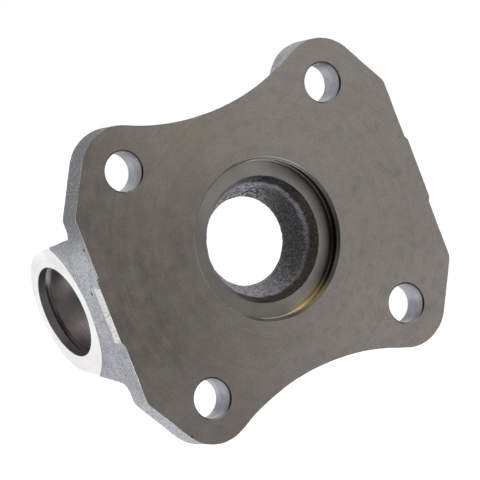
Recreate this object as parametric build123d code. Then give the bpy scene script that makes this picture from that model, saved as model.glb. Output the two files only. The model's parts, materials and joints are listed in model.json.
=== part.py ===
from build123d import *
from math import acos, atan2, cos, hypot, radians, sin, sqrt, tan
import os

# A forged and machined flange yoke, in millimetres.
# X is the axis of the two bearing cap bores. Y is the shaft axis, from the flange face towards the ears.
# Z is up. The origin is the centre of the bolt circle on the flange face.

# Bearing caps and their snap rings
cap_dia = 27.0                  # bore for a bearing cap of 1 1/16 inch
cap_span = 92.1                 # across the outer ends of the two caps
cap_mouth_chamfer = 0.3
snap_groove_width = 1.5
snap_groove_depth = 1.0
snap_groove_land = 2.45         # metal between a groove and the machined face of its ear

# Ears and arms
ear_axis_height = 35.8          # from the flange face to the axis of the caps
ear_wall = 5.1                  # metal around the cap bore
ear_round_shift = 0.7           # the rounded end is forged about a point this much nearer the flange
ear_thickness = 18.0            # along X, at the height of the cap axis
facing_overlap = 2.8            # how far the facing cutter reaches past the rounded end of the ear
arm_root_flare = 3.85           # how much wider an arm is at the flange than at its rounded end
arm_root_fillet = 3.0           # between an arm's flanks and the back of the flange
arm_taper_angle = 3.1           # the flanks close in towards the shaft axis
side_draft_angle = 3.0          # forging draft on the outer and inner sides of the arms
side_stock = 2.4                # forged metal left outside the machined ear faces
gap_edge_radius = 1.6           # rounding of the edges round the gap between the ears

# Saddle and hub between the arms
saddle_rise = 4.8               # height of the saddle above the back of the flange
saddle_corner_radius = 9.0
hub_rise = 1.2                  # height of the hub's rim above the saddle
hub_wall = 10.0                 # metal around the throat at the hub's rim
hub_draft_angle = 7.0
hub_root_fillet = 2.5
hub_rim_break = 0.8

# Flange
flange_thickness = 9.2
bolt_circle_dia = 95.25         # 3 3/4 inch
bolt_hole_dia = 11.1            # 7/16 inch
bolt_hole_chamfer = 0.4
lobe_wall = 7.15                # metal around a bolt hole
waist_depth = 7.4               # depth of the hollow between two bolt lobes, at the flange face
waist_lean_angle = 20.0         # the side of a hollow leans in towards the back
side_shoulder = 1.65            # straight side of the flange beyond the foot of an arm
side_corner_radius = 3.0
back_edge_break = 0.8           # forged break of the flange's back edge and of the arms' outer edges
bolt_seat_margin = 4.0          # machined seat behind a bolt hole, beyond the hole
bolt_seat_depth = 0.4

# Raised pads in the middle of the two straight sides of the flange
pad_height = 0.6
pad_half_length = 8.8
pad_ramp = 1.2
pad_flat_depth = 4.1            # machined flat, from the flange face
pad_fade_depth = 5.0            # the forged slope behind the flat

# Pilot recess in the flange face
pilot_dia = 44.45               # 1 3/4 inch
pilot_depth = 3.2
pilot_chamfer = 0.8

# Relief hollow, forged from the pilot floor and pierced through the saddle
pilot_floor_width = 4.5         # flat ring between the pilot wall and the hollow
hollow_lead_width = 1.85        # steep first part of the hollow
hollow_lead_depth = 3.0
throat_dia = 25.0
throat_land = 1.2               # straight stretch at the pierced end

# Sizes that follow
cap_radius = cap_dia / 2
ear_face = cap_span / 2 + snap_groove_width + snap_groove_land
ear_middle = ear_face - ear_thickness / 2
ear_end_radius = cap_radius + ear_wall
ear_round_height = ear_axis_height - ear_round_shift
arm_root_half_width = ear_end_radius + arm_root_flare
facing_radius = ear_end_radius + facing_overlap
flange_half_width = ear_face + side_stock
side_corner_height = arm_root_half_width + arm_root_fillet + side_shoulder
bolt_radius = bolt_hole_dia / 2
bolt_offset = bolt_circle_dia / 2 / sqrt(2)
bolt_places = [(x, z) for x in (-bolt_offset, bolt_offset) for z in (-bolt_offset, bolt_offset)]
lobe_radius = bolt_radius + lobe_wall
# the hollow is an arc tangent to the two lobes beside it
lobe_rise = lobe_radius - waist_depth
waist_radius = (bolt_offset**2 + lobe_rise**2 - lobe_radius**2) / (2 * waist_depth)
waist_centre_height = bolt_offset + lobe_rise + waist_radius
saddle_height = flange_thickness + saddle_rise
hub_top = saddle_height + hub_rise
pilot_radius = pilot_dia / 2
throat_radius = throat_dia / 2
hub_radius = throat_radius + hub_wall
hollow_mouth_radius = pilot_radius - pilot_floor_width
arm_top = ear_round_height + ear_end_radius
arm_foot = flange_thickness / 2     # the arms start inside the flange
hub_foot = flange_thickness / 4     # so does the hub
margin = 5.0                        # cutting bodies reach this far past the metal
same_place = 0.01                   # places nearer to each other than this are one


def along_shaft(face, start, depth):
    """Extrude a face drawn in X and Z from one Y to a depth further on."""
    return extrude(Plane.XZ.offset(-start) * face, amount=depth, dir=(0, 1, 0))


def turned(points):
    """Body turned about the shaft axis from points of radius and Y."""
    return revolve(Polygon(*points, align=None), axis=Axis.Y)


def both_sides(body):
    """A body at +X and its mirror image at -X."""
    return [body, mirror(body, about=Plane.YZ)]


def above_and_below(body):
    """A body for the upper edge of the flange and its mirror image for the lower edge."""
    return [body, mirror(body, about=Plane.XY)]


def runs_along(edge, axis):
    """Whether the middle of an edge points within 30 degrees of an axis."""
    return abs(edge.tangent_at().dot(axis.direction)) > cos(radians(30))


def touching(centre, radius, point):
    """Where a line from a point touches a circle, on the side that is anticlockwise from the point."""
    reach = hypot(point[0] - centre[0], point[1] - centre[1])
    direction = atan2(point[1] - centre[1], point[0] - centre[0]) + acos(radius / reach)
    return (centre[0] + radius * cos(direction), centre[1] + radius * sin(direction))


def flange_outline():
    """Front view of the flange without its lobes and hollows."""
    # the slant is tangent to the lobe, and so is the hollow
    to_hollow = atan2(waist_centre_height - bolt_offset, -bolt_offset)
    hollow_end = (bolt_offset + lobe_radius * cos(to_hollow), bolt_offset + lobe_radius * sin(to_hollow))
    corner = (flange_half_width, side_corner_height)
    slant_end = touching((bolt_offset, bolt_offset), lobe_radius, corner)
    quarter = Polygon(
        (0, 0),
        (0, hollow_end[1]),
        hollow_end,
        (bolt_offset, bolt_offset),
        slant_end,
        corner,
        (flange_half_width, 0),
        align=None,
    )
    half = quarter + mirror(quarter, about=Plane.XZ)
    face = half + mirror(half, about=Plane.YZ)
    corners = [
        vertex
        for vertex in face.vertices()
        if hypot(abs(vertex.X) - flange_half_width, abs(vertex.Y) - side_corner_height) < same_place
    ]
    return fillet(corners, side_corner_radius)


def lobe():
    """Round boss about a bolt hole, with its back edge broken."""
    profile = Polygon(
        (0, 0), (lobe_radius, 0), (lobe_radius, flange_thickness), (0, flange_thickness), align=None
    )
    back_corner = profile.vertices().sort_by_distance((lobe_radius, flange_thickness))[0]
    return revolve(chamfer(back_corner, back_edge_break), axis=Axis.Y)


def waist_cut():
    """Cone that cuts the hollow between the two upper lobes and breaks its back edge."""
    lean = tan(radians(waist_lean_angle))
    back_radius = waist_radius + flange_thickness * lean
    outer = back_radius + lobe_radius
    profile = Polygon(
        (0, -margin),
        (waist_radius - margin * lean, -margin),
        (back_radius, flange_thickness),
        (outer, flange_thickness),
        (outer, flange_thickness + margin),
        (0, flange_thickness + margin),
        align=None,
    )
    back_corner = profile.vertices().sort_by_distance((back_radius, flange_thickness))[0]
    return Pos(0, 0, waist_centre_height) * revolve(chamfer(back_corner, back_edge_break), axis=Axis.Y)


def plate_and_arms():
    """Flange plate with the arms, the fillets at their feet and the break of their outer edges."""
    body = along_shaft(flange_outline(), 0, flange_thickness) + both_sides(arm())
    root_edges = [
        edge
        for edge in body.edges()
        if abs(edge.center().Y - flange_thickness) < same_place
        and abs(edge.center().Z) < arm_root_half_width
        and runs_along(edge, Axis.X)
    ]
    body = fillet(root_edges, arm_root_fillet)
    # the break runs from the end of an ear down the arm and on along the back edge of the flange
    ear_ends = [
        edge
        for edge in body.edges()
        if abs(edge.center().X) > ear_middle
        and edge.center().Y > ear_axis_height
        and not runs_along(edge, Axis.X)
    ]
    return chamfer(ear_ends, back_edge_break)


def arm_outline():
    """Side view of the arms in Y and Z, at their outer sides."""
    low = touching((ear_round_height, 0), ear_end_radius, (arm_foot, -arm_root_half_width))
    blade = Polygon(
        (arm_foot, -arm_root_half_width),
        low,
        (low[0], -low[1]),
        (arm_foot, arm_root_half_width),
        align=None,
    )
    return blade + Pos(ear_round_height, 0) * Circle(ear_end_radius)


def side_lines():
    """Front view of the arms in X and Y: drafted sides and a rounded gap between the ears."""
    draft = tan(radians(side_draft_angle))
    top = arm_top + margin
    side_top = flange_half_width - (top - flange_thickness) * draft
    outside = Polygon(
        (-flange_half_width, arm_foot),
        (flange_half_width, arm_foot),
        (flange_half_width, flange_thickness),
        (side_top, top),
        (-side_top, top),
        (-flange_half_width, flange_thickness),
        align=None,
    )
    inner = ear_face - ear_thickness
    gap_top = inner + (top + margin - ear_axis_height) * draft
    gap_bottom = inner - (ear_axis_height - saddle_height) * draft
    gap = Polygon(
        (-gap_bottom, saddle_height),
        (gap_bottom, saddle_height),
        (gap_top, top + margin),
        (-gap_top, top + margin),
        align=None,
    )
    gap = fillet(gap.vertices().group_by(Axis.Y)[0], saddle_corner_radius)
    return outside - gap


def arm():
    """The arm at +X with its half of the saddle, and the edges round the gap rounded."""
    side = Plane.YZ.offset(flange_half_width) * arm_outline()
    block = extrude(side, amount=flange_half_width, dir=(-1, 0, 0), taper=arm_taper_angle)
    body = block & extrude(side_lines(), amount=arm_root_half_width + margin, both=True)
    gap_edges = [
        edge
        for edge in body.edges()
        if same_place < edge.center().X < ear_middle
        and edge.center().Y > saddle_height - same_place
        and not runs_along(edge, Axis.Z)
    ]
    return fillet(gap_edges, gap_edge_radius)


def hub():
    """Round drafted boss that carries the pierced throat."""
    foot_radius = hub_radius + (hub_top - flange_thickness) * tan(radians(hub_draft_angle))
    skirt_radius = foot_radius + 2 * hub_root_fillet
    profile = Polygon(
        (0, hub_foot),
        (skirt_radius, hub_foot),
        (skirt_radius, flange_thickness),
        (foot_radius, flange_thickness),
        (hub_radius, hub_top),
        (0, hub_top),
        align=None,
    )
    foot = profile.vertices().sort_by_distance((foot_radius, flange_thickness))[0]
    profile = fillet(foot, hub_root_fillet)
    rim = profile.vertices().sort_by_distance((hub_radius, hub_top))[0]
    return revolve(chamfer(rim, hub_rim_break), axis=Axis.Y)


def pad():
    """Low raised pad on the straight side at +X, with a ramp at each end."""
    inside = flange_half_width - margin
    front = Polygon(
        (inside, -pad_half_length - pad_ramp),
        (flange_half_width, -pad_half_length - pad_ramp),
        (flange_half_width + pad_height, -pad_half_length),
        (flange_half_width + pad_height, pad_half_length),
        (flange_half_width, pad_half_length + pad_ramp),
        (inside, pad_half_length + pad_ramp),
        align=None,
    )
    above = Polygon(
        (inside, 0),
        (flange_half_width + pad_height, 0),
        (flange_half_width + pad_height, pad_flat_depth),
        (flange_half_width, pad_flat_depth + pad_fade_depth),
        (inside, pad_flat_depth + pad_fade_depth),
        align=None,
    )
    long = along_shaft(front, 0, pad_flat_depth + pad_fade_depth)
    return long & extrude(above, amount=pad_half_length + pad_ramp, both=True)


def bolt_cuts():
    """Four through holes with a chamfer at the face and a machined seat behind."""
    seat = bolt_radius + bolt_seat_margin
    # the chamfer's cone runs on in front of the face
    mouth = bolt_radius + bolt_hole_chamfer + margin
    body = turned([
        (0, -margin),
        (mouth, -margin),
        (bolt_radius, bolt_hole_chamfer),
        (bolt_radius, flange_thickness - bolt_seat_depth),
        (seat, flange_thickness - bolt_seat_depth),
        (seat, flange_thickness + margin),
        (0, flange_thickness + margin),
    ])
    return [Pos(x, 0, z) * body for x, z in bolt_places]


def ear_cut():
    """Facing, mouth chamfer, bore and snap ring groove of the ear at +X, turned about the cap axis."""
    groove_start = cap_span / 2
    groove_end = groove_start + snap_groove_width
    groove_radius = cap_radius + snap_groove_depth
    outside = flange_half_width + margin
    profile = Polygon(
        (0, 0),
        (0, cap_radius),
        (groove_start, cap_radius),
        (groove_start, groove_radius),
        (groove_end, groove_radius),
        (groove_end, cap_radius),
        (ear_face - cap_mouth_chamfer, cap_radius),
        (ear_face, cap_radius + cap_mouth_chamfer),
        (ear_face, facing_radius),
        (outside, facing_radius),
        (outside, 0),
        align=None,
    )
    return Pos(0, ear_axis_height, 0) * revolve(profile, axis=Axis.X)


def centre_cut():
    """Pilot recess, hollow and pierced throat, turned as one body."""
    # the chamfer's cone runs on in front of the face
    mouth = pilot_radius + pilot_chamfer + margin
    return turned([
        (0, -margin),
        (mouth, -margin),
        (pilot_radius, pilot_chamfer),
        (pilot_radius, pilot_depth),
        (hollow_mouth_radius, pilot_depth),
        (hollow_mouth_radius - hollow_lead_width, pilot_depth + hollow_lead_depth),
        (throat_radius, hub_top - throat_land),
        (throat_radius, hub_top + margin),
        (0, hub_top + margin),
    ])


# The forging, then the machining
lobes = [Pos(x, 0, z) * lobe() for x, z in bolt_places]
forging = plate_and_arms() - above_and_below(waist_cut()) + lobes + hub() + both_sides(pad())
yoke = forging - bolt_cuts() - centre_cut() - both_sides(ear_cut())

yoke.label = "flange_yoke"
os.makedirs("parts", exist_ok=True)
export_step(yoke, "parts/flange_yoke.step")
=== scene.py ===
import heapq
import itertools
import json
import math
from typing import NamedTuple

import bmesh
import bpy
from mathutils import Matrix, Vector, noise


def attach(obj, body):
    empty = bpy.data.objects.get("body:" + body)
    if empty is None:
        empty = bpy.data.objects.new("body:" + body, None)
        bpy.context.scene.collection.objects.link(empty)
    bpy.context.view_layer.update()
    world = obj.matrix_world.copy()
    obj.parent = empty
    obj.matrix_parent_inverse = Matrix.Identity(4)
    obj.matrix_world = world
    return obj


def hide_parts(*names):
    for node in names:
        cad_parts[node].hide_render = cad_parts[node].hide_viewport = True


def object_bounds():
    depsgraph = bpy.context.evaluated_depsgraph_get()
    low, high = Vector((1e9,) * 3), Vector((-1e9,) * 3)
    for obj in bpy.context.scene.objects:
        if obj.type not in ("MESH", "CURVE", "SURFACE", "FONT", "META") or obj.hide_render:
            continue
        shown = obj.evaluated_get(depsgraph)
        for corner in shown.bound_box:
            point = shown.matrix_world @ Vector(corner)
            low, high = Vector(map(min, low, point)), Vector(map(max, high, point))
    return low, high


# A forged flange yoke. Its flange face, pilot, bolt holes, ear faces and cap bores are machined.
# X is the axis of the cap bores. Y is the shaft axis, from the flange face towards the ears.
# Z is up. Sizes are in metres.
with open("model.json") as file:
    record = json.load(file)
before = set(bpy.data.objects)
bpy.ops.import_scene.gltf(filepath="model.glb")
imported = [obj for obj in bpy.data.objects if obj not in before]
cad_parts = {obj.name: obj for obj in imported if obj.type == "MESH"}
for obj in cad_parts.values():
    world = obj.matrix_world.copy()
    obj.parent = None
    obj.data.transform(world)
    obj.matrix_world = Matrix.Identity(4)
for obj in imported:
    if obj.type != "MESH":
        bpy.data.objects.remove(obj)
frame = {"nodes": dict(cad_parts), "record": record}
cad_box = [list(corner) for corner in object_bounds()]

MM = 0.001


def mm(*sizes):
    """Sizes in metres, from sizes in millimetres."""
    return tuple(size * MM for size in sizes)


# Sizes from the record's mounts
mounts = {mount["name"]: mount for mount in frame["record"]["mounts"]}
CAP_HEIGHT = mounts["cap_bores"]["pos_m"][1]
CAP_RADIUS = mounts["cap_bores"]["dims"]["r_mm"] * MM
PILOT_RADIUS = mounts["pilot"]["dims"]["r_mm"] * MM
BOLT_RADIUS = mounts["flange_bolts"]["dims"]["hole_r_mm"] * MM
BOLT_OFFSET = mounts["flange_bolts"]["dims"]["pcd_mm"] * MM / math.sqrt(8)

# Sizes of the machined places that no mount gives
EAR_FACE = 50.0 * MM
FACING_RADIUS = 21.4 * MM
CAP_CHAMFER = 0.3 * MM
GROOVE_START = 46.05 * MM
GROOVE_WIDTH = 1.5 * MM
GROOVE_DEPTH = 1.0 * MM
PILOT_CHAMFER = 0.8 * MM
PILOT_DEPTH = 3.2 * MM
PILOT_FLOOR_WIDTH = 4.5 * MM
HOLLOW_MOUTH_RADIUS = PILOT_RADIUS - PILOT_FLOOR_WIDTH
HUB_TOP = 15.2 * MM
HOLE_CHAMFER = 0.4 * MM
SEAT_MARGIN = 4.0 * MM
SEAT_RADIUS = BOLT_RADIUS + SEAT_MARGIN
SEAT_HEIGHT = 8.8 * MM
PAD_FACE = 53.0 * MM

# Small pits in the side at -X, each by its place in Y and Z and its size. Its dark floor is a share of that
PITS = [
    mm(2.6, 18.1, 0.55),
    mm(8.2, 5.6, 0.6),
    mm(8.6, -2.6, 0.35),
    mm(5.1, 7.9, 0.35),
    mm(0.7, 9.6, 0.4),
    mm(3.3, 12.3, 0.35),
    mm(0.1, -40.9, 0.55),
]
PIT_SIDE = -40.0 * MM
PIT_FLOOR = 0.6
PIT_DARK = (0.03, 0.03, 0.03)

# Levels of a soft noise at which one colour gives way to another, and half the width of a sharp edge
EVEN = (0.3, 0.7)
WIDE = (0.25, 0.75)
FADE = 0.1 * MM
FINE_FADE = 0.05 * MM


class Wire:
    """A node's output. Python's operators on an output that is a number add Math nodes."""

    def __init__(self, shader, socket):
        self.shader = shader
        self.socket = socket

    def math(self, operation, *others):
        return self.shader.math(operation, self, *others)

    def __add__(self, other):
        return self.math("ADD", other)

    __radd__ = __add__

    def __mul__(self, other):
        return self.math("MULTIPLY", other)

    __rmul__ = __mul__

    def __sub__(self, other):
        return self.math("SUBTRACT", other)

    def __rsub__(self, other):
        return self.shader.math("SUBTRACT", other, self)

    def __pow__(self, other):
        return self.math("POWER", other)

    def __abs__(self):
        return self.math("ABSOLUTE")

    def between(self, low, high):
        """0 at low, 1 at high, smooth between them."""
        settings = {"interpolation_type": "SMOOTHSTEP"}
        sockets = {"Value": self, "From Min": low, "From Max": high}
        return self.shader.node("ShaderNodeMapRange", settings, sockets)

    def near(self, centre, reach):
        """1 at the centre, fading to 0 at the reach."""
        return 1 - abs(self - centre).between(0, reach)

    def spread(self, least, most):
        """The first number where this is 0, and the second where it is 1."""
        return least + (most - least) * self


class Tone(NamedTuple):
    """A colour laid over another by its share, and the levels at which it starts and is full."""

    colour: tuple
    share: float
    start: float
    full: float


class Shader:
    """The nodes of one material or of the world."""

    def __init__(self, owner):
        owner.use_nodes = True
        self.tree = owner.node_tree
        self.tree.nodes.clear()

    def node(self, kind, settings=None, sockets=None, output=0):
        """A node of a type. Its settings are set first, then the values or links of its sockets."""
        node = self.tree.nodes.new(kind)
        for name, value in (settings or {}).items():
            setattr(node, name, value)
        for name, value in (sockets or {}).items():
            self.feed(node.inputs[name], value)
        return Wire(self, node.outputs[output]) if node.outputs else None

    def feed(self, socket, value):
        """Link a socket to a wire, or set its value. A colour gets its fourth number here."""
        if isinstance(value, Wire):
            self.tree.links.new(value.socket, socket)
        else:
            socket.default_value = (*value, 1) if socket.type == "RGBA" else value

    def math(self, operation, *values):
        return self.node("ShaderNodeMath", {"operation": operation}, dict(enumerate(values)))

    def measure(self, operation, first, second):
        """A number from two vectors."""
        settings = {"operation": operation}
        return self.node("ShaderNodeVectorMath", settings, {0: first, 1: second}, output="Value")

    def spot(self):
        """Where a point is on the piece, as a vector."""
        return self.node("ShaderNodeTexCoord", output="Object")

    def place(self):
        """Where a point is on the piece, as its X, Y and Z."""
        spot = self.spot()
        return [self.node("ShaderNodeSeparateXYZ", sockets={0: spot}, output=axis) for axis in "XYZ"]

    def vector(self, x, y, z):
        return self.node("ShaderNodeCombineXYZ", sockets={0: x, 1: y, 2: z})

    def noise(self, scale=1.0, detail=2, roughness=0.5, where=None):
        """Noise between 0 and 1, on the piece's own place or on a given vector."""
        where = where or self.spot()
        sockets = {"Vector": where, "Scale": scale, "Detail": detail, "Roughness": roughness}
        return self.node("ShaderNodeTexNoise", {"noise_dimensions": "3D"}, sockets)

    def mix(self, share, first, second):
        """Two colours mixed by a share."""
        sockets = {0: share, 6: first, 7: second}
        return self.node("ShaderNodeMix", {"data_type": "RGBA"}, sockets, output=2)

    def lay(self, under, tone, driver, *masks):
        """A tone laid over a colour where the driver reaches the tone's levels, within the masks."""
        share = driver.between(tone.start, tone.full) * tone.share
        for mask in masks:
            share = share * mask
        return self.mix(share, under, tone.colour)

    def bump(self, height, depth):
        return self.node("ShaderNodeBump", sockets={"Height": height, "Distance": depth})

    def metal(self, colour, roughness, metallic, normal=None):
        """The finished surface. It is smooth where it is given no normal."""
        sockets = {"Base Color": colour, "Roughness": roughness, "Metallic": metallic}
        if normal:
            sockets["Normal"] = normal
        surface = self.node("ShaderNodeBsdfPrincipled", sockets=sockets)
        self.node("ShaderNodeOutputMaterial", sockets={"Surface": surface})


def painted(name):
    """An empty material and its shader."""
    material = bpy.data.materials.new(name)
    return material, Shader(material)


def length(first, second):
    """How long a line is in a shader, from its two parts at right angles."""
    return (first * first + second * second) ** 0.5


# Forged skin. A stretch along an axis goes from where its tone isn't laid to where it is full
FORGED_DARK = (0.355, 0.362, 0.388)
FORGED_LIGHT = (0.48, 0.488, 0.518)
# Dark colour of the scale clouds, and of the painted shade on the upper lobe
FORGED_SCALE_AND_SHADE = (0.15, 0.153, 0.158)
FORGED_LIT = (0.6, 0.6, 0.64)
FORGED_SHADE = (0.13, 0.134, 0.147)
FORGED_BRIGHT = (0.68, 0.69, 0.72)
# Painted shade on the side of the upper lobe at -X
SHADED_LOBE = Tone(FORGED_SCALE_AND_SHADE, 0.95, *mm(13, 27))
SHADED_LOBE_SIDE = mm(0, -20)
# Painted light from below: the forging is paler towards its foot
FORGED_LIT_FOOT = Tone(FORGED_LIT, 0.5, *mm(-18, -34))
SCALE_CLOUDS = Tone(FORGED_SCALE_AND_SHADE, 0.3, 0.5, 0.66)
DARK_GRAIN = Tone(FORGED_SHADE, 0.9, 0.52, 0.36)
BRIGHT_SPECKS = Tone(FORGED_BRIGHT, 0.6, 0.56, 0.74)

# Thin painted highlight along the edge of the flange face
EDGE_HIGHLIGHT_GREY = (0.82, 0.82, 0.82)
EDGE_WIDTH = 0.5 * MM
EDGE_HIGHLIGHT = Tone(EDGE_HIGHLIGHT_GREY, 1.0, EDGE_WIDTH, EDGE_WIDTH / 3)
EDGE_BREAKS = (0.38, 0.56)
EDGE_FOOT = mm(-8, -20)


def forged_skin():
    """Shot blasted forging: light bluish grey with a fine grain, small pits, painted shade on the upper
    lobe at -X, painted light towards the foot and a painted highlight along the edge of the flange face.
    """
    material, s = painted("forged_skin")
    x, y, z = s.place()
    cloud = s.noise(scale=70, detail=3)
    grain = s.noise(scale=1700, detail=4, roughness=0.75)
    specks = s.noise(scale=2300)
    colour = s.mix(cloud.between(*EVEN), FORGED_DARK, FORGED_LIGHT)
    # Painted shade on the side of the upper lobe at -X
    colour = s.lay(colour, SHADED_LOBE, z, x.between(*SHADED_LOBE_SIDE))
    # Painted light from below, paler towards the foot
    colour = s.lay(colour, FORGED_LIT_FOOT, z)
    colour = s.lay(colour, SCALE_CLOUDS, s.noise(scale=230, detail=3, roughness=0.6))
    colour = s.lay(colour, DARK_GRAIN, grain)
    colour = s.lay(colour, BRIGHT_SPECKS, specks)
    # Painted highlight along the edge of the flange face, broken, and fuller towards the foot
    breaks = s.noise(scale=180).between(*EDGE_BREAKS)
    colour = s.lay(colour, EDGE_HIGHLIGHT, y, breaks, z.between(*EDGE_FOOT).spread(0.3, 0.85))
    strip = pad_strip(s, x, y, z)
    colour = s.mix(strip, colour, milled_colour(s, y, z))
    colour = s.mix(pit_mask(s, x, y, z), colour, PIT_DARK)
    height = grain + 0.8 * s.noise(scale=600, detail=3) + 0.5 * specks
    normal = s.bump(height * strip.spread(1, 0.2), depth=0.2 * MM)
    roughness = 0.62 + 0.15 * cloud - 0.3 * strip
    s.metal(colour, roughness, metallic=strip.spread(0.75, 0.95), normal=normal)
    return material


# Machined strip on the face of each side pad
PAD_BRIGHT = (0.66, 0.66, 0.66)
PAD_STAIN = (0.27, 0.268, 0.265)
PAD_DEPTH = 4.1 * MM
PAD_LOW = -9.0 * MM
PAD_HIGH = 7.0 * MM
PAD_SKIN = 0.25 * MM
PAD_RAGGED_DEPTH = 1.6 * MM
PAD_RAGGED_HEIGHT = 2.4 * MM
MILLING_MARKS = Tone(PAD_STAIN, 0.6, 0.48, 0.7)
MILLING_SHORT = 420
MILLING_FINE = 2300
PAD_PATCHES = Tone(PAD_STAIN, 0.45, 0.5, 0.7)


def pad_strip(s, x, y, z):
    """Where the two side pads were machined, with ragged edges."""
    ragged = s.noise(scale=420, detail=4, roughness=0.7) - 0.5
    depth = y + ragged * PAD_RAGGED_DEPTH
    height = z + ragged * PAD_RAGGED_HEIGHT
    in_depth = depth.between(PAD_DEPTH + FADE, PAD_DEPTH - FADE)
    above = height.between(PAD_LOW - FADE, PAD_LOW + FADE)
    below = height.between(PAD_HIGH + FADE, PAD_HIGH - FADE)
    return in_depth * above * below * abs(x).between(PAD_FACE - PAD_SKIN, PAD_FACE - FADE)


def milled_colour(s, y, z):
    """Bright strip with short broken milling marks and a few dull patches."""
    marks = s.noise(detail=2, roughness=0.6, where=s.vector(0, y * MILLING_SHORT, z * MILLING_FINE))
    colour = s.lay(PAD_BRIGHT, MILLING_MARKS, marks)
    return s.lay(colour, PAD_PATCHES, s.noise(scale=330, detail=3, roughness=0.6))


def pit_mask(s, x, y, z):
    """Small dark pits in the side of the forging, with ragged edges."""
    ragged = s.noise(scale=900) - 0.5
    pits = []
    for height, level, size in PITS:
        reach = length(y - height, z - level) + ragged * size
        pits.append(reach.between(size, size * PIT_FLOOR))
    return sum(pits).math("MINIMUM", 1.0) * x.between(PIT_SIDE, PIT_SIDE - FADE)


# Flange face. Painted shade makes it darker towards -X
FACE_SHADED = (0.084, 0.075, 0.066)
FACE_LIT = (0.164, 0.149, 0.136)
FACE_STRAW = (0.158, 0.143, 0.113)
FACE_PALE = (0.22, 0.2, 0.18)
FACE_WARM = (0.215, 0.198, 0.19)
FACE_RED = (0.14, 0.112, 0.102)
FACE_GREEN = (0.112, 0.118, 0.098)
FACE_SHADE = (0.06, 0.053, 0.047)
FACE_SHADING_ACROSS = mm(-50, 24)
FACE_LEAN = 0.12
FACE_DRIFT = 16 * MM
STRAW_CORNER = Tone(FACE_STRAW, 0.6, *mm(5, 40))
STRAW_INNER = mm(20, -4)
STRAW_OUTER = mm(-50, -10)
WARM_FOOT = Tone(FACE_WARM, 0.24, *mm(-10, -36))
PALE_CORNER = Tone(FACE_PALE, 0.28, 0.3, 0.6)
PALE_CORNER_ACROSS = mm(-8, 22)
PALE_CORNER_DOWN = mm(-14, -34)
PILOT_SHADE = Tone(FACE_SHADE, 0.22, *mm(38, 26))
PILOT_SHADE_ACROSS = mm(-4, -16)
PILOT_SHADE_UP = mm(-6, 8)
PALE_PATCHES = Tone(FACE_PALE, 0.16, 0.35, 0.7)
PALE_ARCS = Tone(FACE_PALE, 0.07, 0.5, 0.72)
DARK_ARCS = Tone(FACE_SHADE, 0.08, 0.5, 0.28)
RED_TINT = Tone(FACE_RED, 0.32, 0.52, 0.68)
GREEN_TINT = Tone(FACE_GREEN, 0.34, 0.48, 0.32)
PALE_RINGS = Tone(FACE_PALE, 0.13, 0.5, 0.75)
DARK_RINGS = Tone(FACE_SHADE, 0.15, 0.5, 0.25)
FACE_DARK_GRAIN = Tone(FACE_SHADE, 0.26, 0.55, 0.3)
FACE_PALE_GRAIN = Tone(FACE_PALE, 0.12, 0.5, 0.7)

# Waves a metre of the rings that a tool leaves, across them and along them
FACE_RINGS = (1500, 60)
FACE_ARCS = (430, 16)
PILOT_RINGS = 4000
EAR_RINGS = (1100, 20)
BORE_LINES = (2600, 60)

# Shallow scratch and small nick in the flange face, by X and Z
SCRATCH_TOP = mm(41.0, 8.0)
SCRATCH_SLOPE = -0.6
SCRATCH_LENGTH = 8.0 * MM
SCRATCH_BEND = 1.5 * MM
SCRATCH = Tone(FACE_SHADE, 0.55, *mm(0.18, 0.04))
NICK_PLACE = mm(-43.8, -40.8)
NICK_SIZE = 0.75 * MM
NICK = Tone(PIT_DARK, 0.9, NICK_SIZE, NICK_SIZE / 2)


def turned_face():
    """Flange face, turned: warm grey with painted shade towards -X, faint rings, soft clouds, a shallow
    scratch and a nick.
    """
    material, s = painted("turned_face")
    x, y, z = s.place()
    radius = length(x, z)
    rings = tool_rings(s, FACE_RINGS, radius, x, z, detail=4, roughness=0.75)
    arcs = tool_rings(s, FACE_ARCS, radius, x, z, detail=3, roughness=0.6)
    patches = s.noise(scale=170, detail=3, roughness=0.6)
    tint = s.noise(scale=230)
    grain = s.noise(scale=1700, detail=3, roughness=0.7)
    # Painted shade: the face darkens towards -X
    across = x + FACE_LEAN * z + (s.noise(scale=40) - 0.5) * FACE_DRIFT
    colour = s.mix(across.between(*FACE_SHADING_ACROSS), FACE_SHADED, FACE_LIT)
    colour = s.lay(colour, STRAW_CORNER, z, x.between(*STRAW_INNER), x.between(*STRAW_OUTER))
    colour = s.lay(colour, WARM_FOOT, z)
    lower_right = x.between(*PALE_CORNER_ACROSS) * z.between(*PALE_CORNER_DOWN)
    colour = s.lay(colour, PALE_CORNER, patches, lower_right)
    beside_pilot = x.between(*PILOT_SHADE_ACROSS) * z.between(*PILOT_SHADE_UP)
    colour = s.lay(colour, PILOT_SHADE, radius, beside_pilot)
    colour = s.lay(colour, PALE_PATCHES, patches)
    for pattern, tones in (
        (arcs, (PALE_ARCS, DARK_ARCS)),
        (tint, (RED_TINT, GREEN_TINT)),
        (rings, (PALE_RINGS, DARK_RINGS)),
        (grain, (FACE_DARK_GRAIN, FACE_PALE_GRAIN)),
    ):
        for tone in tones:
            colour = s.lay(colour, tone, pattern)
    colour = s.lay(colour, SCRATCH, *scratch_lines(s, x, z))
    colour = s.lay(colour, NICK, length(x - NICK_PLACE[0], z - NICK_PLACE[1]))
    normal = s.bump(rings + 0.5 * grain, depth=0.007 * MM)
    s.metal(colour, roughness=0.35 + 0.1 * patches, metallic=0.95, normal=normal)
    return material


def tool_rings(s, waves, reach, first, second, detail, roughness):
    """Noise in rings: fine with the reach from the axis, long along the two other directions."""
    across, along = waves
    where = s.vector(reach * across, first * along, second * along)
    return s.noise(detail=detail, roughness=roughness, where=where)


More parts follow.
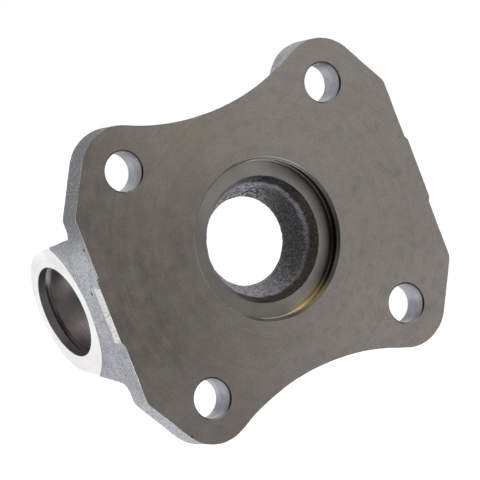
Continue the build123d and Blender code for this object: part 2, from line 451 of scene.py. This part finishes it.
def scratch_lines(s, x, z):
    """How far a point is from the scratch's bent line, and where along it the scratch shows."""
    from_top = z - SCRATCH_TOP[1]
    bend = s.noise(scale=240) * SCRATCH_BEND
    aside = abs((x - SCRATCH_TOP[0]) - from_top * SCRATCH_SLOPE + bend)
    half = SCRATCH_LENGTH / 2
    return aside, abs(from_top + half).between(half, SCRATCH_LENGTH / 3)


# Pilot. Its dark tones are painted shade and painted reflections of the dark side of the room, and its
# bright lines and straw spot are painted reflections of the light
PILOT_DARK = (0.122, 0.115, 0.108)
PILOT_LIGHT = (0.165, 0.157, 0.148)
# Colour of the painted shade and of the painted dark reflections
PAINTED_DARK = (0.036, 0.033, 0.027)
CORNER_HIGHLIGHT = (0.6, 0.59, 0.56)
# Colours of the painted highlight and of the painted reflection of the light on the chamfer
CHAMFER_HIGHLIGHT_GREY = (0.42, 0.41, 0.38)
CHAMFER_REFLECTION_GREY = (0.5, 0.49, 0.46)
STRAW_GLINT = (0.42, 0.32, 0.15)
PILOT_TURNING = Tone(FACE_PALE, 0.25, 0.3, 0.8)
# Painted shade: the pilot darkens towards -X
PILOT_LEFT = Tone(PAINTED_DARK, 0.4, *mm(-3, -15))
PILOT_LEFT_LEAN = 0.5
# Painted dark reflection on the floor towards +X, growing towards the wall
FLOOR_DARK_REFLECTION = Tone(PAINTED_DARK, 0.92, *mm(16.8, 21.4))
FLOOR_DARK_REFLECTION_ACROSS = mm(3, 17)
FLOOR_DARK_REFLECTION_LEAN = 0.15
# Share of the painted dark reflection on the wall
WALL_SHARE = 0.5
WALL_FADE = mm(-0.05, -0.02)
# Painted highlight on the chamfer at its top
CHAMFER_HIGHLIGHT = Tone(CHAMFER_HIGHLIGHT_GREY, 0.8, *mm(9, 19))
CHAMFER_HIGHLIGHT_ACROSS = mm(-4, 2)
# Painted dark reflection on the chamfer at +X
CHAMFER_DARK_REFLECTION = Tone(PAINTED_DARK, 0.75, *mm(14, 2))
CHAMFER_DARK_REFLECTION_ACROSS = mm(14, 20)
# Painted reflection of the light on the chamfer towards -X
CHAMFER_LEFT_REFLECTION = Tone(CHAMFER_REFLECTION_GREY, 0.8, *mm(2, -8))
# Painted dark reflections on the chamfer: at its foot towards -X, and in a thin line at its top
CHAMFER_FOOT = Tone(PAINTED_DARK, 0.75, *mm(-13, -18))
CHAMFER_FOOT_ACROSS = mm(-19, -12)
CHAMFER_TOP = Tone(PAINTED_DARK, 0.7, *mm(4, 11))
CHAMFER_TOP_ACROSS = mm(-6, 2)
CHAMFER_LINE = mm(0.3, 0.28)
# Painted highlight on the corner of the wall and the floor
CORNER_LINE = mm(-0.12, 0.12)
CORNER_SHARE = 0.9
# Painted straw-coloured reflection low on the wall and the floor
GLINT_PLACE = mm(6.5, 2.5, -20.8)
GLINT_REACH = 9.0 * MM
GLINT_FLOOR = mm(-3.5, 0)
GLINT_WALL = mm(-0.6, -0.1)


def pilot_cut():
    """Pilot chamfer, wall and floor: finely turned, with painted shade and dark reflections, painted
    highlights on the chamfer and at the corner, and a painted straw-coloured reflection.
    """
    material, s = painted("pilot_cut")
    x, y, z = s.place()
    radius = length(x, z)
    from_wall = radius - PILOT_RADIUS
    rings = s.noise(detail=2, roughness=0.6, where=s.vector(radius * PILOT_RINGS, y * PILOT_RINGS, 0))
    cloud = s.noise(scale=120, detail=3)
    wall = from_wall.between(*WALL_FADE)
    chamfer = y.between(PILOT_CHAMFER + FINE_FADE, PILOT_CHAMFER - FINE_FADE)
    inside = 1 - chamfer
    colour = s.mix(cloud.between(*WIDE), PILOT_DARK, PILOT_LIGHT)
    colour = s.lay(colour, PILOT_TURNING, rings)
    # Painted shade towards -X, then painted dark reflections on the floor towards +X and on the wall
    colour = s.lay(colour, PILOT_LEFT, x + PILOT_LEFT_LEAN * z)
    right = (x - FLOOR_DARK_REFLECTION_LEAN * z).between(*FLOOR_DARK_REFLECTION_ACROSS)
    colour = s.lay(colour, FLOOR_DARK_REFLECTION, radius, right, inside)
    colour = s.mix(wall * inside * WALL_SHARE, colour, PAINTED_DARK)
    # Painted highlight, painted dark reflections and painted reflection of the light on the chamfer
    colour = s.lay(colour, CHAMFER_HIGHLIGHT, z, chamfer, x.between(*CHAMFER_HIGHLIGHT_ACROSS))
    colour = s.lay(colour, CHAMFER_DARK_REFLECTION, abs(z), chamfer, x.between(*CHAMFER_DARK_REFLECTION_ACROSS))
    colour = s.lay(colour, CHAMFER_LEFT_REFLECTION, x, chamfer)
    colour = s.lay(colour, CHAMFER_FOOT, z, chamfer, x.between(*CHAMFER_FOOT_ACROSS))
    line = from_wall.near(*CHAMFER_LINE)
    colour = s.lay(colour, CHAMFER_TOP, z, chamfer, line, x.between(*CHAMFER_TOP_ACROSS))
    # Painted highlight on the corner of the wall and the floor
    colour = s.mix(from_wall.near(*CORNER_LINE) * inside * CORNER_SHARE, colour, CORNER_HIGHLIGHT)
    # Painted straw-coloured reflection low on the wall and the floor, fainter on the chamfer
    straw_glint = s.measure("DISTANCE", s.spot(), GLINT_PLACE).between(GLINT_REACH, GLINT_REACH / 4)
    straw_glint = straw_glint * (0.3 * from_wall.between(*GLINT_FLOOR) + 0.7 * from_wall.between(*GLINT_WALL))
    colour = s.mix(straw_glint * chamfer.spread(0.85, 0.3), colour, STRAW_GLINT)
    roughness = 0.24 + 0.08 * cloud - 0.1 * wall + 0.2 * chamfer
    s.metal(colour, roughness, metallic=0.97, normal=s.bump(rings, depth=0.004 * MM))
    return material


# Forged hollow: the smooth lead at its mouth, the crease below it and the scale down to the throat. Its
# dark colours are partly dark scale and partly painted shade of the recess
SCALE_BLACK = (0.02, 0.02, 0.021)
SCALE_SHADED = (0.075, 0.071, 0.069)
SCALE_LIGHT = (0.32, 0.32, 0.345)
SCALE_BRIGHT = (0.52, 0.515, 0.55)
LEAD_DARK = (0.02, 0.018, 0.018)
LEAD_LIGHT = (0.042, 0.038, 0.036)
LEAD_BROWN = (0.07, 0.052, 0.036)
# Colour of the painted highlight on the crease
CREASE_HIGHLIGHT = (0.36, 0.36, 0.4)
# Painted shade: the scale darkens towards +X
SCALE_SHADE_ACROSS = mm(13, -2)
SCALE_SHADE_LEAN = 0.25
SCALE_PITS = Tone(SCALE_BLACK, 0.85, 0.52, 0.34)
SCALE_CRUMBS = Tone(SCALE_BRIGHT, 1.0, 0.52, 0.68)
SCALE_CRUMBS_ACROSS = mm(12, 2)
HOLLOW_TOP = mm(-8, 5)
DARK_STREAKS = Tone(SCALE_BLACK, 1.0, 0.5, 0.43)
DARK_STREAKS_ACROSS = mm(15, 6)
BRIGHT_STREAKS = Tone(SCALE_BRIGHT, 1.0, 0.51, 0.58)
BRIGHT_STREAKS_ACROSS = mm(14, 3)
STREAKS_ROUND = 900
STREAKS_DOWN = 1700
FLOW = 0.35
BROWN_LEAD = Tone(LEAD_BROWN, 0.7, *mm(2, 20))
LEAD_PITS = Tone(SCALE_BLACK, 0.7, 0.5, 0.36)
LEAD_CRUMBS = Tone(SCALE_LIGHT, 0.35, 0.54, 0.68)
CREASE_DEPTH = 6.2 * MM
CREASE_WOBBLE = 1.4 * MM
CREASE_FADE = mm(-0.6, 0.5)
CREASE_BAND = mm(0.5, 1.3)
CREASE_LEVELS = (0.3, 0.55)
CREASE_UP = mm(-6, 12)
CREASE_LEAN = 0.5


def hollow_skin():
    """Forged hollow: a brownish lead, a painted highlight on the crease and coarse dark scale down to the
    throat, with painted shade towards +X.
    """
    material, s = painted("hollow_skin")
    x, y, z = s.place()
    from_crease = y + (s.noise(scale=300, detail=3) - 0.5) * CREASE_WOBBLE - CREASE_DEPTH
    flow = s.vector(x, y * FLOW, z)
    coarse = s.noise(scale=1300, detail=4, roughness=0.75, where=flow)
    crumbs = s.noise(scale=3000, detail=3, roughness=0.7, where=flow)
    where = s.vector(x * STREAKS_ROUND, y * STREAKS_DOWN, z * STREAKS_ROUND)
    streaks = s.noise(detail=3, roughness=0.65, where=where)
    top = z.between(*HOLLOW_TOP)
    # Painted shade: the scale darkens towards +X, with fewer bright crumbs there
    scale = s.mix((x - SCALE_SHADE_LEAN * z).between(*SCALE_SHADE_ACROSS), SCALE_SHADED, SCALE_LIGHT)
    scale = s.lay(scale, SCALE_PITS, coarse)
    scale = s.lay(scale, SCALE_CRUMBS, crumbs, x.between(*SCALE_CRUMBS_ACROSS).spread(0.35, 0.8))
    scale = s.lay(scale, DARK_STREAKS, streaks, x.between(*DARK_STREAKS_ACROSS), top.spread(0.3, 0.95))
    scale = s.lay(scale, BRIGHT_STREAKS, streaks, x.between(*BRIGHT_STREAKS_ACROSS), top.spread(0.2, 0.95))
    lead = s.mix(s.noise(scale=200, detail=3).between(*EVEN), LEAD_DARK, LEAD_LIGHT)
    lead = s.lay(lead, BROWN_LEAD, x - z)
    lead = s.lay(lead, LEAD_PITS, coarse)
    lead = s.lay(lead, LEAD_CRUMBS, crumbs)
    below = from_crease.between(*CREASE_FADE)
    colour = s.mix(below, lead, scale)
    # Painted highlight on the crease, fuller towards its top and +X
    crease = from_crease.near(*CREASE_BAND) * coarse.between(*CREASE_LEVELS)
    lit = (z + CREASE_LEAN * x).between(*CREASE_UP).spread(0.25, 0.85)
    colour = s.mix(crease * lit, colour, CREASE_HIGHLIGHT)
    height = (coarse + 0.7 * crumbs) * below.spread(0.2, 1)
    normal = s.bump(height, depth=0.25 * MM)
    s.metal(colour, roughness=below.spread(0.42, 0.67), metallic=0.75, normal=normal)
    return material


# Bolt holes. Places across and up are measured from a hole's own axis
HOLE_DARK = (0.3, 0.305, 0.34)
HOLE_LIGHT = (0.44, 0.45, 0.5)
HOLE_BRIGHT = (0.75, 0.76, 0.82)
HOLE_SHADE = (0.15, 0.148, 0.162)
SEAT_GREY = (0.5, 0.5, 0.51)
# Colours of the painted shade and painted light on the rims
RIM_SHADED = (0.045, 0.041, 0.038)
RIM_LIT = (0.24, 0.232, 0.22)
SCORES_ROUND = 120
SCORES_DOWN = 3500
BRIGHT_SCORES = Tone(HOLE_BRIGHT, 0.5, 0.5, 0.75)
DARK_SCORES = Tone(FORGED_SHADE, 0.4, 0.45, 0.3)
MOUTH_SHADE = Tone(HOLE_SHADE, 0.5, *mm(3.5, 0.2))
SIDE_SHADE = Tone(HOLE_SHADE, 0.4, *mm(1, 3.5))
SIDE_SHADE_MIDDLE = 1 * MM
SIDE_SHADE_ACROSS = mm(0, 4)
TOP_SHADE = Tone(HOLE_SHADE, 0.45, *mm(1.5, 5))
TOP_SHADE_DEPTH = mm(7, 2)
SEAT_FADE = 0.4 * MM
SEAT = Tone(SEAT_GREY, 0.7, SEAT_HEIGHT - SEAT_FADE, SEAT_HEIGHT)
RIM_SHADE_ACROSS = mm(-1, 4)
RIM_SHADE_LEAN = 0.2


def from_hole(x, z):
    """How far a point is from its bolt hole's axis, in X and in Z."""
    return [along - along.math("SIGN") * BOLT_OFFSET for along in (x, z)]


def hole_wall():
    """Drilled wall of a bolt hole, with fine scoring round it, and the seat behind."""
    material, s = painted("hole_wall")
    x, y, z = s.place()
    across, up = from_hole(x, z)
    where = s.vector(x * SCORES_ROUND, y * SCORES_DOWN, z * SCORES_ROUND)
    scoring = s.noise(detail=3, roughness=0.7, where=where)
    colour = s.mix(s.noise(scale=260).between(*EVEN), HOLE_DARK, HOLE_LIGHT)
    colour = s.lay(colour, BRIGHT_SCORES, scoring)
    colour = s.lay(colour, DARK_SCORES, scoring)
    colour = s.lay(colour, MOUTH_SHADE, y)
    colour = s.lay(colour, SIDE_SHADE, abs(up - SIDE_SHADE_MIDDLE), across.between(*SIDE_SHADE_ACROSS))
    colour = s.lay(colour, TOP_SHADE, up, y.between(*TOP_SHADE_DEPTH))
    colour = s.lay(colour, SEAT, y)
    s.metal(colour, roughness=0.42, metallic=0.85, normal=s.bump(scoring, depth=0.02 * MM))
    return material


def hole_rim():
    """Small smooth chamfer at the mouth of a bolt hole, with painted shade on its right and painted light
    on its left.
    """
    material, s = painted("hole_rim")
    x, y, z = s.place()
    across, up = from_hole(x, z)
    # Painted shade on the right of the rim, painted light on its left
    colour = s.mix((across + RIM_SHADE_LEAN * up).between(*RIM_SHADE_ACROSS), RIM_LIT, RIM_SHADED)
    s.metal(colour, roughness=0.22 + 0.1 * s.noise(scale=600), metallic=0.97)
    return material


# Machined side of an ear
EAR_PALE = (0.74, 0.74, 0.74)
EAR_WHITE = (0.86, 0.86, 0.87)
EAR_GREY = (0.58, 0.58, 0.6)
EAR_BEIGE = (0.74, 0.71, 0.68)
GREY_RINGS = Tone(EAR_GREY, 0.4, 0.5, 0.7)
BEIGE_FOOT = Tone(EAR_BEIGE, 0.6, *mm(-4, -20))


def ear_facing():
    """Faced side of an ear: bright, with rings about the cap bore."""
    material, s = painted("ear_facing")
    x, y, z = s.place()
    rings = tool_rings(s, EAR_RINGS, length(y - CAP_HEIGHT, z), y, z, detail=3, roughness=0.6)
    cloud = s.noise(scale=90, detail=3)
    colour = s.mix(cloud.between(*EVEN), EAR_PALE, EAR_WHITE)
    colour = s.lay(colour, GREY_RINGS, rings)
    colour = s.lay(colour, BEIGE_FOOT, z)
    normal = s.bump(rings, depth=0.012 * MM)
    s.metal(colour, roughness=0.34 + 0.1 * cloud, metallic=0.85, normal=normal)
    return material


# Cap bore with its ring groove. The land is the stretch outside the groove
BORE_DARK = (0.2, 0.188, 0.185)
BORE_BROWN = (0.33, 0.29, 0.28)
BORE_BLUE = (0.3, 0.3, 0.315)
BORE_LIGHT = (0.5, 0.47, 0.46)
# Colours of the painted shadow in the groove and of the painted light at its top
GROOVE_SHADOW = (0.03, 0.028, 0.028)
GROOVE_PAINTED_LIGHT = (0.9, 0.9, 0.93)
LAND_START = GROOVE_START + GROOVE_WIDTH
LIGHT_LINES = Tone(BORE_LIGHT, 0.3, 0.45, 0.75)
LIGHT_SPECKS = Tone(BORE_LIGHT, 0.25, 0.55, 0.75)
# Painted light at the foot of the bore, towards the gap between the ears
BORE_LIT_FOOT = Tone(BORE_LIGHT, 0.35, *mm(-3, -9))
BORE_LIT_FOOT_INWARDS = mm(45, 36)
GROOVE_MIDDLE = GROOVE_START + GROOVE_WIDTH / 2
GROOVE_REACH = 0.45 * GROOVE_WIDTH
GROOVE_SHARE = 0.85
GROOVE_LIT = mm(6, 9)
# Band of painted light at the top, beside the groove
LIT_BAND_MIDDLE = GROOVE_START + 0.4 * MM
LIT_BAND_REACH = 1.2 * MM
LIT_BAND_SHARE = 0.8


def bored_wall():
    """Bored wall of a cap bore: dark brownish steel with fine lines round it, painted light at its foot
    towards the gap between the ears, and a ring groove with painted shadow in it and painted light in a
    band at its top.
    """
    material, s = painted("bored_wall")
    x, y, z = s.place()
    outwards = abs(x)
    lines = tool_rings(s, BORE_LINES, x, y, z, detail=3, roughness=0.6)
    cloud = s.noise(scale=150, detail=3)
    land = outwards.between(LAND_START - FINE_FADE, LAND_START + FINE_FADE)
    lit = z.between(*GROOVE_LIT)
    # Painted shadow in the groove below its top, and painted light in a band at its top
    groove = outwards.near(GROOVE_MIDDLE, GROOVE_REACH) * (1 - lit)
    lit_band = outwards.near(LIT_BAND_MIDDLE, LIT_BAND_REACH) * lit
    colour = s.mix(cloud.between(*EVEN), BORE_DARK, BORE_BROWN)
    colour = s.mix(land, colour, BORE_BLUE)
    colour = s.lay(colour, LIGHT_LINES, lines)
    colour = s.lay(colour, LIGHT_SPECKS, s.noise(scale=1400, detail=3, roughness=0.7))
    # Painted light at the foot of the bore, towards the gap between the ears
    colour = s.lay(colour, BORE_LIT_FOOT, z, outwards.between(*BORE_LIT_FOOT_INWARDS))
    colour = s.mix(groove * GROOVE_SHARE, colour, GROOVE_SHADOW)
    colour = s.mix(lit_band * LIT_BAND_SHARE, colour, GROOVE_PAINTED_LIGHT)
    normal = s.bump(lines, depth=0.01 * MM)
    s.metal(colour, roughness=0.28 + 0.12 * cloud, metallic=lit_band.spread(0.95, 0.35), normal=normal)
    return material


FINISHES = {
    "forged": forged_skin(),
    "face": turned_face(),
    "pilot": pilot_cut(),
    "hollow": hollow_skin(),
    "hole_wall": hole_wall(),
    "hole_rim": hole_rim(),
    "ear_face": ear_facing(),
    "cap_bore": bored_wall(),
}
# The material of the forged skin also paints the machined strips on the pads
FINISHES["pad"] = FINISHES["forged"]
ZONES = list(FINISHES)

# How near two places or directions are when they count as the same
CLOSE = 0.02 * MM
FACING_ALONG = 0.01
FACING_ASIDE = 0.1
UNDER_EAR_FACE = EAR_FACE - CLOSE * 3


def depth_of(point):
    return point.y


def from_middle(point):
    return abs(point.x)


def from_shaft(point):
    return math.hypot(point.x, point.z)


def from_cap_axis(point):
    return math.hypot(point.y - CAP_HEIGHT, point.z)


def from_bolt(point):
    return math.hypot(abs(point.x) - BOLT_OFFSET, abs(point.z) - BOLT_OFFSET)


def zone_of(corners, normal):
    """Which finish a face of the yoke has, from its corners and its normal."""
    centre = sum(corners, Vector()) / len(corners)

    def within(measure, low, high):
        return all(low - CLOSE <= measure(corner) <= high + CLOSE for corner in corners)

    if within(depth_of, 0, 0):
        return "face"
    if within(from_shaft, 0, PILOT_RADIUS + PILOT_CHAMFER + CLOSE) and centre.y < PILOT_DEPTH + CLOSE:
        if from_shaft(centre) > HOLLOW_MOUTH_RADIUS:
            return "pilot"
    if within(from_shaft, 0, HOLLOW_MOUTH_RADIUS) and normal.dot(Vector((centre.x, 0, centre.z))) < 0:
        if centre.y < HUB_TOP:
            return "hollow"
    if within(from_bolt, BOLT_RADIUS, BOLT_RADIUS + HOLE_CHAMFER):
        return "hole_rim" if centre.y < HOLE_CHAMFER else "hole_wall"
    if within(from_bolt, 0, SEAT_RADIUS) and centre.y > SEAT_HEIGHT - CLOSE:
        return "hole_wall"
    if within(from_cap_axis, 0, CAP_RADIUS + GROOVE_DEPTH) and abs(centre.x) > EAR_FACE / 2:
        if abs(abs(normal.x) - 1) > FACING_ALONG or within(from_middle, 0, UNDER_EAR_FACE):
            return "cap_bore"
    if within(from_middle, PAD_FACE, PAD_FACE):
        return "pad"
    if within(from_middle, EAR_FACE, EAR_FACE):
        return "ear_face"
    if within(from_cap_axis, FACING_RADIUS, FACING_RADIUS) and abs(normal.x) < FACING_ASIDE:
        return "ear_face"
    return "forged"


# Rough zones with the longest edge of their mesh, and the waves of their surface by length and height
ROUGH_EDGES = {"hollow": 0.55 * MM, "forged": 1.15 * MM}
WAVES = {
    "hollow": [mm(3.0, 0.12), mm(1.1, 0.09)],
    "forged": [mm(7.0, 0.10), mm(2.4, 0.06)],
}

# Level that the noise of a wave seldom passes
HIGHEST_WAVE = 0.6

# A pit is this deep for its size, and its hollow and its finer mesh reach this many times its size
PIT_DEPTH = 0.5
PIT_REACH = 1.5
PIT_MESH_REACH = 2.5
PIT_EDGE = 0.18 * MM

# Edges that bend more than this stay sharp, and points nearer than this are merged
SHARP = math.radians(24)
SAME_POINT = 0.002 * MM

# What is left of the chamfers at the outer mouths of the cap bores
CAP_CHAMFER_LEFT = 0.1 * MM

# How many times a move is laid flat against the machined surfaces beside it
FLATTENINGS = 3


def pit_depth(place, reach=PIT_REACH):
    """How deep the pits in the side are at a place."""
    if place.x > PIT_SIDE:
        return 0.0
    depth = 0.0
    for height, level, size in PITS:
        share = math.hypot(place.y - height, place.z - level) / (reach * size)
        depth = max(depth, PIT_DEPTH * size * (1 - share * share))
    return depth


def longest_allowed(edge):
    """How long an edge of the mesh may be, or None where no rough zone meets it."""
    zones = [ZONES[face.material_index] for face in edge.link_faces]
    limits = [ROUGH_EDGES[zone] for zone in zones if zone in ROUGH_EDGES]
    if not limits:
        return None
    middle = (edge.verts[0].co + edge.verts[1].co) / 2
    return PIT_EDGE if pit_depth(middle, PIT_MESH_REACH) > 0 else min(limits)


def refine(work):
    """Halve the long edges of the rough zones, the longest first."""
    order = itertools.count()
    queue = []

    def add(edge):
        limit = longest_allowed(edge)
        span = edge.calc_length()
        if limit and span > limit:
            heapq.heappush(queue, (-span, next(order), edge))

    for edge in work.edges:
        add(edge)
    while queue:
        edge = heapq.heappop(queue)[2]
        half, middle = bmesh.utils.edge_split(edge, edge.verts[0], 0.5)
        fresh = [edge, half]
        for face in list(middle.link_faces):
            corner = next(loop for loop in face.loops if loop.vert == middle)
            opposite = corner.link_loop_next.link_loop_next.vert
            bmesh.utils.face_split(face, middle, opposite)
        fresh += [spoke for spoke in middle.link_edges if spoke not in (edge, half)]
        for spoke in fresh:
            add(spoke)


def lumps(place, waves):
    """Height of a rough surface at a place. Its highest waves come up to the solid's surface."""
    return sum(height * (noise.noise(place / span) - HIGHEST_WAVE) for span, height in waves)


def roughen(work):
    """Move the forged skin unevenly inwards. Beside a machined surface it stays in that surface."""
    work.normal_update()
    rough = {ZONES.index(zone): WAVES[zone] for zone in ROUGH_EDGES}
    moves = []
    for vertex in work.verts:
        skin = [face for face in vertex.link_faces if face.material_index in rough]
        if not skin:
            continue
        away = sum((face.normal for face in skin), Vector()).normalized()
        move = away * (lumps(vertex.co, rough[skin[0].material_index]) - pit_depth(vertex.co))
        machined = [face.normal for face in vertex.link_faces if face.material_index not in rough]
        for normal in machined * FLATTENINGS:
            move -= normal * move.dot(normal)
        moves.append((vertex, move))
    low, high = cad_box
    for vertex, move in moves:
        moved = vertex.co + move
        vertex.co = [min(max(moved[axis], low[axis]), high[axis]) for axis in range(3)]


def sharpen_cap_mouths(work):
    """Make the chamfers at the outer mouths of the cap bores as fine as they look."""
    away = CAP_CHAMFER - CAP_CHAMFER_LEFT
    for vertex in work.verts:
        spot = vertex.co
        reach = math.hypot(spot.y - CAP_HEIGHT, spot.z)
        if abs(abs(spot.x) - EAR_FACE) < CLOSE and abs(reach - CAP_RADIUS - CAP_CHAMFER) < CLOSE:
            share = (reach - away) / reach
            spot.y = CAP_HEIGHT + (spot.y - CAP_HEIGHT) * share
            spot.z *= share
        elif abs(abs(spot.x) - EAR_FACE + CAP_CHAMFER) < CLOSE and abs(reach - CAP_RADIUS) < CLOSE:
            spot.x = math.copysign(EAR_FACE - CAP_CHAMFER_LEFT, spot.x)


def finish_zones(work):
    """Give each face of the mesh its finish."""
    for face in work.faces:
        corners = [vertex.co for vertex in face.verts]
        face.material_index = ZONES.index(zone_of(corners, face.normal))
        face.smooth = True


def yoke():
    """The yoke with its finishes, made from a merged copy of the solid's mesh."""
    mesh = frame["nodes"]["flange_yoke"].data.copy()
    mesh.name = "yoke"
    mesh.materials.clear()
    for zone in ZONES:
        mesh.materials.append(FINISHES[zone])
    work = bmesh.new()
    work.from_mesh(mesh)
    bmesh.ops.remove_doubles(work, verts=work.verts, dist=SAME_POINT)
    work.normal_update()
    finish_zones(work)
    sharpen_cap_mouths(work)
    refine(work)
    for edge in work.edges:
        if len(edge.link_faces) == 2 and edge.calc_face_angle() > SHARP:
            edge.smooth = False
    roughen(work)
    work.to_mesh(mesh)
    work.free()
    piece = bpy.data.objects.new("yoke", mesh)
    bpy.context.scene.collection.objects.link(piece)
    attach(piece, "root")
    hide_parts("flange_yoke")


# Studio
WHITE = (1, 1, 1)
CAMERA_PLACE = (-0.41183, -0.81166, 0.13137)
CAMERA_TURN = (81.368, 20.914, -29.538)
LENS = 248.31
SENSOR = 36.0
LAMP_SIZE = 0.8
KEY_PLACE = (1.0, -1.2, 0.7)
KEY_POWER = 12
SIDE_PLACE = (-1.3, 0.2, 0.5)
SIDE_POWER = 8
AMBIENT = 0.55
CARD_DIRECTION = (-0.88, -0.45, 0.0)
CARD_EDGE = 0.45
CARD_CENTRE = 0.8
CARD_SHADE = 0.92
FLOOR_HEIGHT = -0.12
FLOOR_SIZE = 30.0
FLOOR_PAINT = (0.95, 0.95, 0.95)
FLOOR_ROUGHNESS = 0.9
FLOOR_GLOW = 1.45
FLOOR_GLOW_SHARE = 0.5


def camera():
    """A long lens, a little above the flange face and to its left."""
    data = bpy.data.cameras.new("camera")
    data.lens = LENS
    data.sensor_width = SENSOR
    holder = bpy.data.objects.new("camera", data)
    holder.location = CAMERA_PLACE
    holder.rotation_euler = [math.radians(angle) for angle in CAMERA_TURN]
    bpy.context.scene.collection.objects.link(holder)
    bpy.context.scene.camera = holder


def lamp(name, place, power):
    """A square soft light that faces the yoke."""
    data = bpy.data.lights.new(name, "AREA")
    data.size = LAMP_SIZE
    data.energy = power
    holder = bpy.data.objects.new(name, data)
    holder.location = place
    holder.rotation_euler = (-Vector(place)).to_track_quat("-Z", "Y").to_euler()
    bpy.context.scene.collection.objects.link(holder)


def ray(s, kind):
    """1 for rays of one kind, and 0 for others."""
    return s.node("ShaderNodeLightPath", output=f"Is {kind} Ray")


def shown(s):
    """1 for the rays that show a thing straight, mirrored or through glass."""
    return ray(s, "Camera").math("MAXIMUM", ray(s, "Glossy")).math("MAXIMUM", ray(s, "Transmission"))


def surroundings():
    """White all round, with one dark card in the reflections, beside the camera."""
    world = bpy.data.worlds.new("studio")
    bpy.context.scene.world = world
    s = Shader(world)
    direction = s.node("ShaderNodeTexCoord", output="Generated")
    towards_card = s.measure("DOT_PRODUCT", direction, Vector(CARD_DIRECTION).normalized())
    card = towards_card.between(CARD_EDGE, CARD_CENTRE) * ray(s, "Glossy")
    strength = shown(s).spread(AMBIENT, 1) - CARD_SHADE * card
    light = s.node("ShaderNodeBackground", sockets={"Color": WHITE, "Strength": strength})
    s.node("ShaderNodeOutputWorld", sockets={"Surface": light})


def floor():
    """A plain white floor that keeps the yoke's shadow."""
    half = FLOOR_SIZE / 2
    corners = [(-half, -half), (half, -half), (half, half), (-half, half)]
    mesh = bpy.data.meshes.new("floor")
    mesh.from_pydata([(x, y, FLOOR_HEIGHT) for x, y in corners], [], [(0, 1, 2, 3)])
    material, s = painted("floor_paint")
    sockets = {"Base Color": FLOOR_PAINT, "Roughness": FLOOR_ROUGHNESS}
    paint = s.node("ShaderNodeBsdfPrincipled", sockets=sockets)
    glow = s.node("ShaderNodeEmission", sockets={"Color": WHITE, "Strength": FLOOR_GLOW})
    surface = s.node("ShaderNodeMixShader", sockets={0: shown(s) * FLOOR_GLOW_SHARE, 1: paint, 2: glow})
    s.node("ShaderNodeOutputMaterial", sockets={"Surface": surface})
    mesh.materials.append(material)
    sheet = bpy.data.objects.new("floor", mesh)
    bpy.context.scene.collection.objects.link(sheet)


camera()
surroundings()
floor()
lamp("key", KEY_PLACE, KEY_POWER)
lamp("side", SIDE_PLACE, SIDE_POWER)
bpy.context.scene.view_settings.view_transform = "Standard"
yoke()
